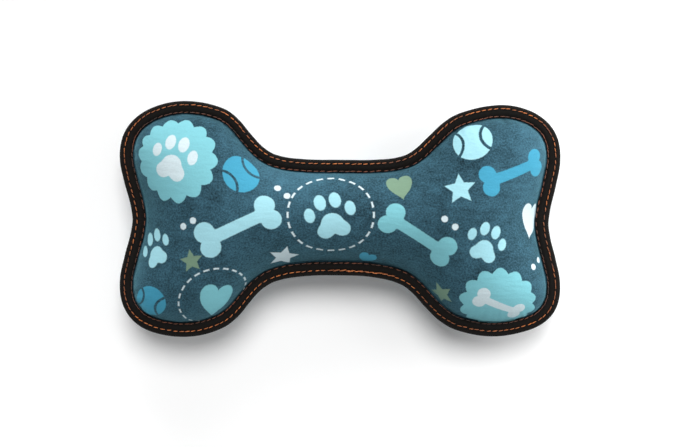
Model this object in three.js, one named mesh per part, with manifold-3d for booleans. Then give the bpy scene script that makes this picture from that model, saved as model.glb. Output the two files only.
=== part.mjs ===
// Squeaky bone dog toy: two plush panels sewn edge to edge inside a folded black tape, stuffed with
// fibre, with a bellows squeaker in its own cloth pouch in each end.
// Millimetres, +Z up. The toy lies on its back panel: X runs along the bone, Y across it, and the
// origin is on the floor under the middle of the bone.

import * as THREE from "three";
import { mergeVertices } from "three/addons/utils/BufferGeometryUtils.js";
import Module from "manifold-3d";

const wasm = await Module();
wasm.setup();

// Outline of the bone, to the outside of the edge tape. Each knob's top lies knobTopInset from the
// bone's end, and its widest place knobSideInset from the bone's long edge.
const toyLength = 300;
const toyHeight = 160;
const waistHeight = 78;
const waistLength = 88;
const waistFlare = 4.5;
const knobTopInset = 43;
const knobSideInset = 34;
const endDip = 8.8;

// How far each in-between point of a knob lies from one main point to the next, along x and y
const flank = { x: 0.25, y: 0.37 };
const shoulder = { x: 0.52, y: 0.79 };
const upperCorner = { x: 0.61, y: 0.18 };
const outerCorner = { x: 0.9, y: 0.52 };
const cheek = { x: 0.4, y: 0.47 };

// Stuffed body
const toyThickness = 60;
const restFlat = 0.5;
const crownPower = 0.55;
const coverThickness = 1.6;
const layerGap = 0.3;

// Edge tape, folded over the panels' raw edges, and its two rows of stitching
const tapeThickness = 1.2;
const tapeReach = 9;
const tapeEdgeGap = 0.6;
const outerRowInset = 3.1;
const innerRowInset = 8.2;
const threadWidth = 0.9;
const threadHeight = 0.6;
const threadGap = 0.1;

// Squeakers, one in the middle of each end: a moulded bulb with a pleated wall, a reed unit in its
// base and a cloth pouch round it
const squeakerInset = 58;
const bulbRadius = 22.4;
const bulbHeight = 24;
const bulbWall = 1.2;
const capRise = 4;
const pleatWall = 0.8;
const pleatDepth = 4;
const pleatCount = 3;
const reedUnitRadius = 5;
const reedUnitLength = 10.3;
const reedClampLength = 3.8;
const reedWidth = 3.4;
const reedThickness = 0.25;
const reedFreeLength = 6;
const reedTail = 0.8;
const airwayWidth = 2.4;
const airwayDepth = 2.6;
const airwayEnd = 1.4;
const collarWall = 1.2;
const collarHeight = 4.3;
const pouchWall = 0.6;
const pouchEase = 1.3;
const pouchHeadroom = 0.6;
const pouchHem = 4;

// Fineness of the curved surfaces
const stationsPerQuarter = 20;
const bendLength = 100;
const wallSteps = 864;
const crownRings = 6;
const ringCrowding = 1.8;
const turnSteps = 16;
const domeSteps = 3;
const foldSteps = 4;
const gradientStep = 0.5;
const weldDistance = 1e-3;

// Levels above the seam plane, where the two panels meet face to face, and places in plan
const flangeInside = layerGap / 2;
const flangeOutside = flangeInside + coverThickness;
const tapeInside = flangeOutside + layerGap;
const tapeOutside = tapeInside + tapeThickness;
const crownHeight = toyThickness / 2 - flangeOutside;
const seamLevel = toyThickness / 2 - restFlat;
const seamInset = tapeReach + tapeEdgeGap;
const endX = toyLength / 2 - squeakerInset;

const materials = {
  plush: new THREE.MeshStandardMaterial({ color: 0x3f6272, roughness: 0.95, metalness: 0 }),
  tape: new THREE.MeshStandardMaterial({ color: 0x1c1917, roughness: 0.85, metalness: 0 }),
  thread: new THREE.MeshStandardMaterial({ color: 0xc8692c, roughness: 0.6, metalness: 0 }),
  fibre: new THREE.MeshStandardMaterial({ color: 0xf2f1ec, roughness: 1, metalness: 0 }),
  pouch: new THREE.MeshStandardMaterial({ color: 0xd9d6cc, roughness: 0.95, metalness: 0 }),
  bulb: new THREE.MeshStandardMaterial({ color: 0xeef0ee, roughness: 0.45, metalness: 0 }),
  reedUnit: new THREE.MeshStandardMaterial({ color: 0xd8dcd9, roughness: 0.4, metalness: 0 }),
  reed: new THREE.MeshStandardMaterial({ color: 0xe8e4d2, roughness: 0.3, metalness: 0 }),
};

// Outline

function between(from, to, share) {
  return new THREE.Vector2(
    THREE.MathUtils.lerp(from.x, to.x, share.x),
    THREE.MathUtils.lerp(from.y, to.y, share.y),
  );
}

// A quarter of the outline, from the middle of an end, round a knob, to the middle of the waist.
function quarterPoints() {
  const end = new THREE.Vector2(toyLength / 2 - endDip, 0);
  const side = new THREE.Vector2(toyLength / 2, toyHeight / 2 - knobSideInset);
  const top = new THREE.Vector2(toyLength / 2 - knobTopInset, toyHeight / 2);
  const waistEnd = new THREE.Vector2(waistLength / 2, waistHeight / 2 + waistFlare);
  const waist = new THREE.Vector2(0, waistHeight / 2);
  return [
    end,
    between(side, end, cheek),
    side,
    between(top, side, outerCorner),
    between(top, side, upperCorner),
    top,
    between(waistEnd, top, shoulder),
    between(waistEnd, top, flank),
    waistEnd,
    waist,
  ];
}

// The whole outline as one closed curve, anticlockwise seen from above.
function boneOutline() {
  const quarter = quarterPoints();
  const inner = quarter.slice(1, -1);
  const [end, waist] = [quarter[0], quarter[quarter.length - 1]];
  const flip = (points, x, y) => points.map((p) => new THREE.Vector2(p.x * x, p.y * y));
  const corners = [
    end,
    ...inner,
    waist,
    ...flip(inner, -1, 1).reverse(),
    ...flip([end], -1, 1),
    ...flip(inner, -1, -1),
    ...flip([waist], 1, -1),
    ...flip(inner, 1, -1).reverse(),
  ];
  return new THREE.CatmullRomCurve3(
    corners.map((p) => new THREE.Vector3(p.x, p.y, 0)),
    true,
  );
}

const outline = boneOutline();

// Places along the outline, from 0 to 1, at which the sewn pieces have their corners: spread by
// length and by turning, so that tight bends get more of them, and alike in every quarter.
function spreadStations() {
  const steps = wallSteps / 4;
  const place = (step) => step / wallSteps;
  const travelled = [0];
  for (let step = 1; step <= steps; step++) {
    const length = outline.getPoint(place(step - 1)).distanceTo(outline.getPoint(place(step)));
    const turn = outline.getTangent(place(step - 1)).angleTo(outline.getTangent(place(step)));
    travelled.push(travelled[step - 1] + length + turn * bendLength);
  }
  const quarter = Array.from({ length: stationsPerQuarter + 1 }, (_, i) => {
    const target = (travelled[steps] * i) / stationsPerQuarter;
    const after = Math.max(1, travelled.findIndex((t) => t >= target));
    const share = (target - travelled[after - 1]) / (travelled[after] - travelled[after - 1]);
    return place(after - 1 + share);
  });
  const leaving = quarter.slice(0, -1);
  const returning = quarter.slice(1).reverse();
  return [
    ...leaving,
    ...returning.map((s) => 0.5 - s),
    ...leaving.map((s) => 0.5 + s),
    ...returning.map((s) => 1 - s),
  ];
}

const stations = spreadStations();

// Points of the outline at the given places along it, moved inwards by inset.
function rim(inset, places = stations) {
  return places.map((along) => {
    const point = outline.getPoint(along);
    const tangent = outline.getTangent(along);
    return new THREE.Vector2(point.x - tangent.y * inset, point.y + tangent.x * inset);
  });
}

// Stuffed form of a panel

const seamWall = rim(
  seamInset,
  Array.from({ length: wallSteps }, (_, i) => i / wallSteps),
);

// A smooth stand-in for the distance to the seam: the wall's inverse cube field, scaled so that it
// equals the true distance beside a long straight wall.
function softDepth(point) {
  const field = seamWall.reduce((sum, a, i) => {
    const b = seamWall[(i + 1) % seamWall.length];
    const reach = Math.hypot((a.x + b.x) / 2 - point.x, (a.y + b.y) / 2 - point.y);
    return sum + a.distanceTo(b) / reach ** 3;
  }, 0);
  return Math.sqrt(2 / field);
}

// Plan points of ring number ring, from 0 at the seam to crownRings on the bone's middle line.
function crownPlan(ring) {
  const share = (ring / crownRings) ** ringCrowding;
  return rim(seamInset).map((p) => {
    const middle = new THREE.Vector2(THREE.MathUtils.clamp(p.x, -endX, endX), 0);
    return p.clone().lerp(middle, share);
  });
}

const deepest = Math.max(...crownPlan(crownRings).map(softDepth));

// Height of a stuffed panel's outside above its flange.
function crownAt(point) {
  return crownHeight * (softDepth(point) / deepest) ** crownPower;
}

// The point of a panel's body over a plan point, at a depth below the panel's outside.
function bodyPoint(plan, depth) {
  const ahead = (x, y) => crownAt(new THREE.Vector2(plan.x + x, plan.y + y));
  const slopeX = (ahead(gradientStep, 0) - ahead(-gradientStep, 0)) / (2 * gradientStep);
  const slopeY = (ahead(0, gradientStep) - ahead(0, -gradientStep)) / (2 * gradientStep);
  const normal = new THREE.Vector3(-slopeX, -slopeY, 1).normalize();
  const outside = new THREE.Vector3(plan.x, plan.y, flangeOutside + crownAt(plan));
  return outside.addScaledVector(normal, -depth);
}

function level(points, z) {
  return points.map((p) => new THREE.Vector3(p.x, p.y, z));
}

// The rings of one layer of a panel's body, from just inside the seam to the middle line.
function bodyRings(depth) {
  return Array.from({ length: crownRings }, (_, i) =>
    crownPlan(i + 1).map((plan) => bodyPoint(plan, depth)),
  );
}

// Solids

// A closed skin through loops of equally many points, each four-sided patch split along its shorter
// diagonal. The last loop joins the first one in a ring; otherwise both are folded flat.
function loft(loops, ring = false) {
  const count = loops[0].length;
  const bands = ring ? loops.length : loops.length - 1;
  const corners = [];
  for (let band = 0; band < bands; band++) {
    const [a, b] = [loops[band], loops[(band + 1) % loops.length]];
    for (let i = 0; i < count; i++) {
      const next = (i + 1) % count;
      const split = a[i].distanceTo(b[next]) < a[next].distanceTo(b[i]);
      corners.push(a[i], b[i], split ? b[next] : a[next]);
      corners.push(split ? a[i] : b[i], b[next], a[next]);
    }
  }
  return new THREE.BufferGeometry().setFromPoints(corners);
}

// The same closed skin with shared vertices and no collapsed triangles.
function welded(geometry) {
  const bare = geometry.clone();
  bare.deleteAttribute("normal");
  bare.deleteAttribute("uv");
  const merged = mergeVertices(bare, weldDistance);
  const index = merged.index.array;
  const kept = [];
  for (let i = 0; i < index.length; i += 3) {
    const [a, b, c] = index.slice(i, i + 3);
    if (a !== b && b !== c && c !== a) kept.push(a, b, c);
  }
  return merged.setIndex(kept);
}

function solid(geometry) {
  const { attributes, index } = welded(geometry);
  return new wasm.Manifold(
    new wasm.Mesh({
      numProp: 3,
      vertProperties: attributes.position.array,
      triVerts: new Uint32Array(index.array),
    }),
  );
}

function skinOf(manifold) {
  const { vertProperties, triVerts } = manifold.getMesh();
  return new THREE.BufferGeometry()
    .setAttribute("position", new THREE.BufferAttribute(vertProperties, 3))
    .setIndex(new THREE.BufferAttribute(triVerts, 1));
}

// The same solid mirrored in the seam plane, for the back half of the toy.
function turnedOver(geometry) {
  const over = welded(geometry);
  over.scale(1, 1, -1);
  return over.setIndex(Array.from(over.index.array).reverse());
}

// A solid of revolution about Z, from a profile of [radius, z] that runs up its outside.
function turned(profile) {
  const points = profile.map(([radius, z]) => new THREE.Vector2(radius, z));
  return new THREE.LatheGeometry(points, turnSteps).rotateX(Math.PI / 2);
}

// Panels and stuffing

function coverPanel() {
  const outside = bodyRings(0).reverse();
  const inside = bodyRings(coverThickness);
  const edge = rim(tapeThickness + layerGap);
  return loft([
    ...outside,
    level(rim(seamInset), flangeOutside),
    level(edge, flangeOutside),
    level(edge, flangeInside),
    level(rim(seamInset + coverThickness), flangeInside),
    ...inside,
  ]);
}

// The back panel, pressed flat where the toy lies on it.
function backPanel() {
  const press = new THREE.BoxGeometry(toyLength, toyHeight, toyThickness);
  press.translate(0, 0, -seamLevel - toyThickness / 2);
  return skinOf(solid(turnedOver(coverPanel())).subtract(solid(press)));
}

// Half of the stuffing, with a pocket for each squeaker pouch.
function fillHalf() {
  const depth = coverThickness + layerGap;
  const middle = level(crownPlan(crownRings), flangeInside);
  const block = loft([
    ...bodyRings(depth).reverse(),
    level(rim(seamInset + depth), flangeInside),
    middle,
  ]);
  return [-endX, endX].reduce(
    (fill, x) => fill.subtract(solid(pouchPocket().translate(x, 0, 0))),
    solid(block),
  );
}

// Edge tape and stitching

// The tape's folded section as [inset, z], round the outside of the fold and back along its inside.
function tapeSection() {
  const fold = Array.from({ length: foldSteps + 1 }, (_, i) => {
    const turn = Math.PI * (i / foldSteps - 0.5);
    return [tapeOutside * (1 - Math.cos(turn)), -tapeOutside * Math.sin(turn)];
  });
  return [
    [tapeReach, tapeOutside],
    ...fold,
    [tapeReach, -tapeOutside],
    [tapeReach, -tapeInside],
    [tapeThickness, -tapeInside],
    [tapeThickness, tapeInside],
    [tapeReach, tapeInside],
  ];
}

function edgeTape() {
  return loft(
    tapeSection().map(([inset, z]) => level(rim(inset), z)),
    true,
  );
}

// One thread of a stitching row, lying on the front of the tape.
function stitchRow(inset) {
  const seat = tapeOutside + threadGap;
  return loft(
    [
      level(rim(inset + threadWidth / 2), seat),
      level(rim(inset), seat + threadHeight),
      level(rim(inset - threadWidth / 2), seat),
    ],
    true,
  );
}

// Squeaker

const bulbHalf = bulbHeight / 2;
const rimLevel = bulbHalf - capRise;
const pouchRadius = bulbRadius + pouchEase + pouchWall;
const reedUnitLow = -bulbHalf - layerGap;
const clampTop = reedUnitLow + reedClampLength;
const reedClearance = reedThickness / 2 + layerGap;

// Points of a domed cap from the axis down to its rim.
function cap(radius, rimZ, rise) {
  return Array.from({ length: domeSteps + 1 }, (_, i) => {
    const turn = (Math.PI / 2) * (i / domeSteps);
    return [radius * Math.sin(turn), rimZ + rise * Math.cos(turn)];
  });
}

// The moving end of the bulb, which the teeth press in.
function bulbCrown() {
  const outside = cap(bulbRadius, rimLevel, capRise);
  const inside = cap(bulbRadius - bulbWall, rimLevel, capRise - bulbWall);
  return turned([...inside, ...outside.reverse()]);
}

// The fixed end of the bulb, with a collar that grips the reed unit.
function bulbBase() {
  const boreRadius = reedUnitRadius + layerGap;
  const collarFloor = -bulbHalf + bulbWall / 2;
  const tube = (radius, low, high) =>
    turned([
      [0, low],
      [radius, low],
      [radius, high],
      [0, high],
    ]);
  const collar = tube(boreRadius + collarWall, collarFloor, collarFloor + collarHeight + bulbWall);
  const bore = tube(boreRadius, -bulbHeight, bulbHeight);
  return skinOf(solid(turnedOver(bulbCrown())).add(solid(collar)).subtract(solid(bore)));
}

// The pleated wall between the two ends.
function bulbPleats() {
  const high = rimLevel - layerGap;
  const folds = 2 * pleatCount;
  const wall = (radius) =>
    Array.from({ length: folds + 1 }, (_, i) => {
      const z = THREE.MathUtils.lerp(-high, high, i / folds);
      return [i % 2 ? radius - pleatDepth : radius, z];
    });
  const outside = wall(bulbRadius);
  const inside = wall(bulbRadius - pleatWall).reverse();
  return turned([...outside, ...inside, outside[0]]);
}

function halfDisc(radius, side, length) {
  const shape = new THREE.Shape();
  shape.absarc(0, 0, radius, side > 0 ? 0 : Math.PI, side > 0 ? Math.PI : 2 * Math.PI);
  shape.closePath();
  return new THREE.ExtrudeGeometry(shape, {
    depth: length,
    bevelEnabled: false,
    curveSegments: turnSteps / 2,
  });
}

// The half of the reed unit with the airway, which ends below its top and opens at its foot.
function reedHolder() {
  const body = halfDisc(reedUnitRadius - reedClearance, -1, reedUnitLength);
  const airway = new THREE.BoxGeometry(airwayWidth, 2 * airwayDepth, reedUnitLength);
  airway.translate(0, 0, reedUnitLength / 2 - airwayEnd);
  const cut = solid(body).subtract(solid(airway));
  return skinOf(cut).translate(0, -reedClearance, reedUnitLow);
}

// The short half that clamps the reed's tail.
function reedWedge() {
  return halfDisc(reedUnitRadius - reedClearance, 1, reedClampLength).translate(
    0,
    reedClearance,
    reedUnitLow,
  );
}

function reedTongue() {
  const length = reedTail + reedFreeLength;
  const tongue = new THREE.BoxGeometry(reedWidth, reedThickness, length);
  return tongue.translate(0, 0, clampTop - reedTail + length / 2);
}

// Points of a pouch half from the axis over its domed top and down its side to the seam plane.
function pouchWallPoints(grow) {
  const radius = pouchRadius + grow;
  return cap(radius, rimLevel, capRise + pouchHeadroom + pouchWall + grow);
}

// Half of the cloth pouch, with the hem by which it is sewn to the other half.
function pouchHalf() {
  const hemTop = flangeInside + pouchWall;
  const hemRadius = pouchRadius + pouchHem;
  return turned([
    ...pouchWallPoints(-pouchWall),
    [pouchRadius - pouchWall, flangeInside],
    [hemRadius, flangeInside],
    [hemRadius, hemTop],
    [pouchRadius, hemTop],
    ...pouchWallPoints(0).reverse(),
  ]);
}

// The room that a pouch half takes in the stuffing.
function pouchPocket() {
  const hemRadius = pouchRadius + pouchHem + layerGap;
  const hemTop = flangeInside + pouchWall + layerGap;
  return turned([
    [0, -layerGap],
    [hemRadius, -layerGap],
    [hemRadius, hemTop],
    [pouchRadius + layerGap, hemTop],
    ...pouchWallPoints(layerGap).reverse(),
  ]);
}

// Assembly

function piece(name, geometry, material) {
  const mesh = new THREE.Mesh(geometry, material);
  mesh.name = name;
  return mesh;
}

function squeaker(side, x) {
  const group = new THREE.Group();
  group.position.x = x;
  group.add(
    piece(`${side}_pouch_front`, welded(pouchHalf()), materials.pouch),
    piece(`${side}_pouch_back`, turnedOver(pouchHalf()), materials.pouch),
    piece(`${side}_squeaker_crown`, welded(bulbCrown()), materials.bulb),
    piece(`${side}_squeaker_pleats`, welded(bulbPleats()), materials.bulb),
    piece(`${side}_squeaker_base`, bulbBase(), materials.bulb),
    piece(`${side}_reed_holder`, reedHolder(), materials.reedUnit),
    piece(`${side}_reed_wedge`, welded(reedWedge()), materials.reedUnit),
    piece(`${side}_reed`, welded(reedTongue()), materials.reed),
  );
  return group;
}

const toy = new THREE.Group();
toy.position.z = seamLevel;
toy.add(
  piece("front_cover", welded(coverPanel()), materials.plush),
  piece("back_cover", backPanel(), materials.plush),
  piece("front_fill", skinOf(fillHalf()), materials.fibre),
  piece("back_fill", turnedOver(skinOf(fillHalf())), materials.fibre),
  piece("edge_tape", welded(edgeTape()), materials.tape),
  piece("outer_stitches_front", welded(stitchRow(outerRowInset)), materials.thread),
  piece("inner_stitches_front", welded(stitchRow(innerRowInset)), materials.thread),
  piece("outer_stitches_back", turnedOver(stitchRow(outerRowInset)), materials.thread),
  piece("inner_stitches_back", turnedOver(stitchRow(innerRowInset)), materials.thread),
  squeaker("left", -endX),
  squeaker("right", endX),
);

export default new THREE.Group().add(toy);
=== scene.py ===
"""A bone-shaped squeaky dog toy: printed plush panels, folded edge tape, two rows of thread,
stuffing and squeakers."""

import math

import bmesh
import bpy
import numpy as np
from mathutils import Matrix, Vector, noise
from mathutils.geometry import delaunay_2d_cdt
from mathutils.kdtree import KDTree


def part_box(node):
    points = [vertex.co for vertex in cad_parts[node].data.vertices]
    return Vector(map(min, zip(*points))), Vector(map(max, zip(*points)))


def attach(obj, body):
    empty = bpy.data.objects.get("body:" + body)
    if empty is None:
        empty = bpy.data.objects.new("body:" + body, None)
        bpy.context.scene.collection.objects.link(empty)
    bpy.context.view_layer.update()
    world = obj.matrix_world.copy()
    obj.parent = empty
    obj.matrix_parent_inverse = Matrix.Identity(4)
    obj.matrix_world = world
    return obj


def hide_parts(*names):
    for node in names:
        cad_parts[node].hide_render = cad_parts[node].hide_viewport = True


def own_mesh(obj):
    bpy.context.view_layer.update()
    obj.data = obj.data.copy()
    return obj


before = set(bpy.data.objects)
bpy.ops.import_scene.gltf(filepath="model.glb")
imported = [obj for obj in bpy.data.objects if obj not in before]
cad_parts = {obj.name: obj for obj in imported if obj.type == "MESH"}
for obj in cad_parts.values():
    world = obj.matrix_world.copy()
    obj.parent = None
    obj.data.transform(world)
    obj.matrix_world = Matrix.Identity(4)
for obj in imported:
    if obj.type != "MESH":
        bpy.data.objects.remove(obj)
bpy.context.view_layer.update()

MM = 0.001
TURN = 2 * math.pi

# Places that the frame gives
TAPE_BOX = [np.array(corner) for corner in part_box("edge_tape")]
SEAM = (TAPE_BOX[0][2] + TAPE_BOX[1][2]) / 2
TAPE_TOP = TAPE_BOX[1][2] - SEAM
CROWN_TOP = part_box("front_cover")[1].z - SEAM
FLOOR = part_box("back_cover")[0].z
SIDES = ("left", "right")
SQUEAKER_X = {side: sum(c.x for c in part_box(side + "_squeaker_crown")) / 2 for side in SIDES}

# Sewn edge, as insets from the toy's outer edge
TAPE_WALL = 1.2 * MM
TAPE_REACH = 9.0 * MM
SEAM_INSET = 9.6 * MM
OUTER_ROW = 3.1 * MM
INNER_ROW = 8.2 * MM

# Webbing: sections per stitch, waves of its free edge and creases between the rows as (size, height), then
# its dips and swell
TAPE_STATIONS = 5
TAPE_SWAY = (9 * MM, 0.28 * MM)
TAPE_CREASE = (5 * MM, 0.1 * MM)
FREE_FROM = 6.5 * MM
FREE_DIP = 0.12 * MM
HOLE_DRAW = 0.16 * MM
HOLE_DIP = 0.2 * MM
ROW_WIDTH = 0.75 * MM
ROW_DIP = 0.14 * MM
PUFF_WIDTH = 1.7 * MM
PUFF = 0.32 * MM

# Stitches: their sizes, how they arch in thread heights, how they thin towards their ends, and their plies
STITCH_PITCH = 4.2 * MM
STITCH_LENGTH = 3.45 * MM
ROW_STATIONS = 10
STITCH_STEPS = 11
STITCH_SIDES = 8
THREAD_WIDTH = 0.5 * MM
THREAD_HEIGHT = 0.6 * MM
ARCH_CREST = 0.42
ARCH_DROP = 1.25
END_THINNING = 0.55
END_TIP = 0.25
PLY_DEPTH = 0.13
PLY_LAY = 0.62 * MM

# How unevenly the stitches lie, their slant as (mean, spread), and the second run over the outer row's
# start: from where to where it goes below the waist, its shift along the row, its height and its sides
LENGTH_SPREAD = (0.86, 1.06)
DRIFT_SPREAD = 0.09 * MM
SLANT = (0.14 * MM, 0.07 * MM)
LIFT_SPREAD = 0.03 * MM
BACK_TACK = (-9.0 * MM, 36.0 * MM)
TACK_SHIFT = 4
TACK_LIFT = 0.28 * MM
TACK_ASIDE = (-0.42 * MM, 0.36 * MM)

# Where hand sewing pulled the even shape, in millimetres: place, reach, pull
PULLS = (
    ((112, 62), 62, (0.0, -3.6)),
    ((140, -8), 34, (1.4, -2.4)),
    ((-80, 68), 28, (1.4, 1.2)),
    ((-140, 66), 24, (1.0, -0.8)),
    ((-58, 56), 18, (-0.6, -1.0)),
    ((118, 76), 22, (0.6, 1.2)),
    ((0, 42), 60, (0.0, 1.6)),
    ((-118, -62), 45, (-1.4, -0.8)),
    ((-128, -74), 20, (-1.2, -0.4)),
    ((-92, -78), 22, (0.8, -1.0)),
    ((-57, -51), 14, (-1.0, 1.0)),
    ((98, -66), 48, (0.0, -2.0)),
    ((142, -62), 24, (1.4, -1.0)),
    ((120, -78), 26, (0.0, 1.1)),
    ((66, -64), 22, (-1.2, -1.2)),
    ((48, -46), 26, (-1.0, -1.6)),
)

# How far the toy inside its outer fold is drawn in at its ends, and up all along; how much further up on its
# lower knobs, between which levels; and over which inset the fold takes all that up
END_DRAW = 0.6 * MM
ROLL = 0.6 * MM
SAG = 0.7 * MM
SAG_LEVELS = (40 * MM, 80 * MM)
FOLD_REACH = 3.0 * MM

# Plush panels: the wall, how the crown rises from its flange, and how it hangs over its seam
PLUSH_WALL = 1.3 * MM
FLANGE_TOP = 1.75 * MM
CROWN_POWER = 0.55
OVERHANG = 0.7 * MM
OVERHANG_DEPTH = 1.2 * MM
OVERHANG_LEAN = (0.1, 0.5)
OVERHANG_SAG = 1.4
BACK_PRINT_SHIFT = (96 * MM, 41 * MM)

# The panels' mesh: rings along the seam, which holds the outer ones, and a triangular grid inside them
RING_INSETS = [x * MM for x in (3.4, 6.4, 8.6, 9.6, 9.95, 10.5, 11.3, 12.4, 13.9, 15.8, 18.2)]
RING_POINTS = 420
HELD_RINGS = 4
NEAR_SEAM = 1.5 * MM
GRID_STEP = 3.0 * MM
GRID_CLEAR = 0.7 * GRID_STEP
EDGE_SAMPLES = 4000
WALL_SAMPLES = 3000

# Stuffing pressure, and the lumps and puckers that it leaves behind as (size, height)
START_SWELL = 0.95
SWELL_PRESSURE = 400.0
SWELL_FRAMES = 20
SWELL_CAP = 5.0 * MM
LUMPS = ((46 * MM, 1.1 * MM), (19 * MM, 0.35 * MM))
LUMP_START = 16 * MM
PUCKERS = ((15 * MM, 0.5 * MM), (6.5 * MM, 0.4 * MM))
PUCKER_START = 1.2 * MM
PUCKER_REACH = 9.0 * MM

# Stuffing halves: how tight they are, the panel ring they start from, the gaps round them, their clumps
FILL_RING = RING_INSETS.index(12.4 * MM)
FILL_GAP = 1.1 * MM
FILL_LEAST = 0.8 * MM
FILL_FLOOR_GAP = 2.2 * MM
SEAM_GAP = 0.15 * MM
POCKET_GAP = 0.6 * MM
HEM_ROOF = 1.2 * MM
CLUMPS = (9 * MM, 1.0 * MM)

# Squeaker bulbs: walls, the moulded bead on the crown, the pleats, and the collar round the reed unit
BULB_WALL = 1.2 * MM
BEAD_RADIUS = 12 * MM
BEAD_WIDTH = 0.8 * MM
BEAD_HEIGHT = 0.22 * MM
PLEATS = 3
PLEAT_STEPS = 49
PLEAT_DEPTH = 4.0 * MM
PLEAT_WALL = 0.8 * MM
REED_BORE = 5.3 * MM
COLLAR = 6.5 * MM
COLLAR_EDGE = 0.3 * MM

# Squeaker pouches: each half is cut from a disc and gathered into a ruffled hem
POUCH_WALL = 0.6 * MM
POUCH_HEM = 4.0 * MM
HEM_FOLD = 0.3 * MM
RUFFLES = 17
RUFFLE = 0.006
RUFFLE_FROM = 8 * MM


# Curves along the sewn edge


def ring_at(node, level):
    """A CAD node's vertices at one level, in the order in which its edges join them."""
    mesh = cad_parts[node].data
    links = {}
    for edge in mesh.edges:
        ends = [mesh.vertices[i].co for i in edge.vertices]
        if max(abs(end.z - level) for end in ends) > 0.01 * MM:
            continue
        a, b = (tuple(round(c, 6) for c in end.xy) for end in ends)
        if a != b:
            links.setdefault(a, set()).add(b)
            links.setdefault(b, set()).add(a)
    path = [max(links)]
    while True:
        onward = links[path[-1]] - set(path)
        if not onward:
            return np.array(path)
        path.append(max(onward))


def running_length(points):
    """How far along a line each of its points lies."""
    return np.concatenate([[0], np.cumsum(np.linalg.norm(np.diff(points, axis=0), axis=1))])


def evenly(points, count, fine=40):
    """Evenly spaced points along the smooth closed curve through the given points."""
    after = np.roll(points, -1, 0)
    chord = np.linalg.norm(after - points, axis=1)[:, None]
    before = np.roll(chord, 1, 0)
    slope = (after - points) / chord
    tangent = (slope * before + np.roll(slope, 1, 0) * chord) / (before + chord)
    t = np.linspace(0, 1, fine, endpoint=False)[None, :, None]
    starts, ends = points[:, None], after[:, None]
    leaving = (tangent * chord)[:, None]
    arriving = (np.roll(tangent, -1, 0) * chord)[:, None]
    dense = (
        starts * (1 + 2 * t) * (1 - t) ** 2
        + leaving * t * (1 - t) ** 2
        + ends * t**2 * (3 - 2 * t)
        + arriving * t**2 * (t - 1)
    ).reshape(-1, 2)
    dense = np.vstack([dense, dense[:1]])
    arc = running_length(dense)
    places = np.linspace(0, arc[-1], count, endpoint=False)
    return np.stack([np.interp(places, arc, dense[:, k]) for k in (0, 1)], 1)


def outward(points):
    """Unit normals of an anticlockwise closed curve."""
    along = np.roll(points, -1, 0) - np.roll(points, 1, 0)
    along /= np.linalg.norm(along, axis=1)[:, None]
    return np.stack([along[:, 1], -along[:, 0]], 1)


def anticlockwise(points):
    after = np.roll(points, -1, 0)
    area = (points[:, 0] * after[:, 1] - points[:, 1] * after[:, 0]).sum()
    return points if area > 0 else points[::-1]


EDGE = anticlockwise(ring_at("edge_tape", SEAM))
FINE_EDGE = evenly(EDGE, EDGE_SAMPLES)
PERIMETER = np.linalg.norm(np.roll(FINE_EDGE, -1, 0) - FINE_EDGE, axis=1).sum()
STITCHES = round(PERIMETER / STITCH_PITCH)


def rim(inset, count):
    """The outer edge moved inwards by inset."""
    edge = evenly(EDGE, count)
    return edge - outward(edge) * np.broadcast_to(inset, count)[:, None]


def ease(x, low, high):
    """Smooth step from 0 at low to 1 at high."""
    t = np.clip((x - low) / (high - low), 0, 1)
    return t * t * (3 - 2 * t)


def sewn(points, inset=SEAM_INSET):
    """The toy as sewn by hand: pulled a little out of its even cut, and drawn up inside its outer fold."""
    ends = points[:, 0] / TAPE_BOX[0][0]
    below = ease(-points[:, 1], *SAG_LEVELS)
    drawn = np.column_stack([ends * END_DRAW, ROLL + below * SAG])
    moved = points + drawn * ease(inset, 0, FOLD_REACH)
    for place, reach, pull in PULLS:
        apart = (points - np.array(place) * MM) / (reach * MM)
        moved += np.exp(-(apart**2).sum(1))[:, None] * np.array(pull) * MM
    return moved


def noise_at(points, size, seed):
    """Smooth noise, about -1 to 1, with features of that size."""
    shift = Vector((seed * 7.31, seed * 3.17, seed * 5.53))
    return np.array([noise.noise(Vector(p) / size + shift) for p in points])


def seam_loop(turn):
    """Places on a circle as long as the toy's edge, where noise along the seam closes on itself."""
    return np.column_stack([np.cos(turn), np.sin(turn), 0 * turn]) * PERIMETER / TURN


def search_tree(points):
    """A tree that finds the nearest of these plan points."""
    tree = KDTree(len(points))
    for i, (x, y) in enumerate(points):
        tree.insert((x, y, 0), i)
    tree.balance()
    return tree


# Meshes


def add(name, data):
    """A new object in the scene."""
    piece = bpy.data.objects.new(name, data)
    bpy.context.scene.collection.objects.link(piece)
    return piece


def make(name, points, faces, *materials):
    mesh = bpy.data.meshes.new(name)
    mesh.from_pydata(np.asarray(points).tolist(), [], [[int(i) for i in face] for face in faces])
    for material in materials:
        mesh.materials.append(material)
    mesh.shade_smooth()
    return add(name, mesh)


def lattice(rings, around, ring_of_rings=False):
    """Faces between closed rings of points."""
    faces = []
    for ring in range(rings if ring_of_rings else rings - 1):
        here = ring * around
        there = (ring + 1) % rings * around
        for i in range(around):
            j = (i + 1) % around
            faces.append((here + i, here + j, there + j, there + i))
    return faces


def closed_lattice(rings, around):
    """Faces of a tube of rings with a cap on both ends."""
    last = (rings - 1) * around
    return lattice(rings, around) + [[first + i for i in range(around)] for first in (0, last)]


def face_outwards(piece):
    shape = bmesh.new()
    shape.from_mesh(piece.data)
    bmesh.ops.recalc_face_normals(shape, faces=shape.faces)
    shape.to_mesh(piece.data)
    shape.free()
    return piece


def applied(piece):
    """The piece with its modifiers made part of its mesh."""
    depsgraph = bpy.context.evaluated_depsgraph_get()
    depsgraph.update()
    mesh = bpy.data.meshes.new_from_object(piece.evaluated_get(depsgraph))
    piece.modifiers.clear()
    piece.data = mesh
    return piece


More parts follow.
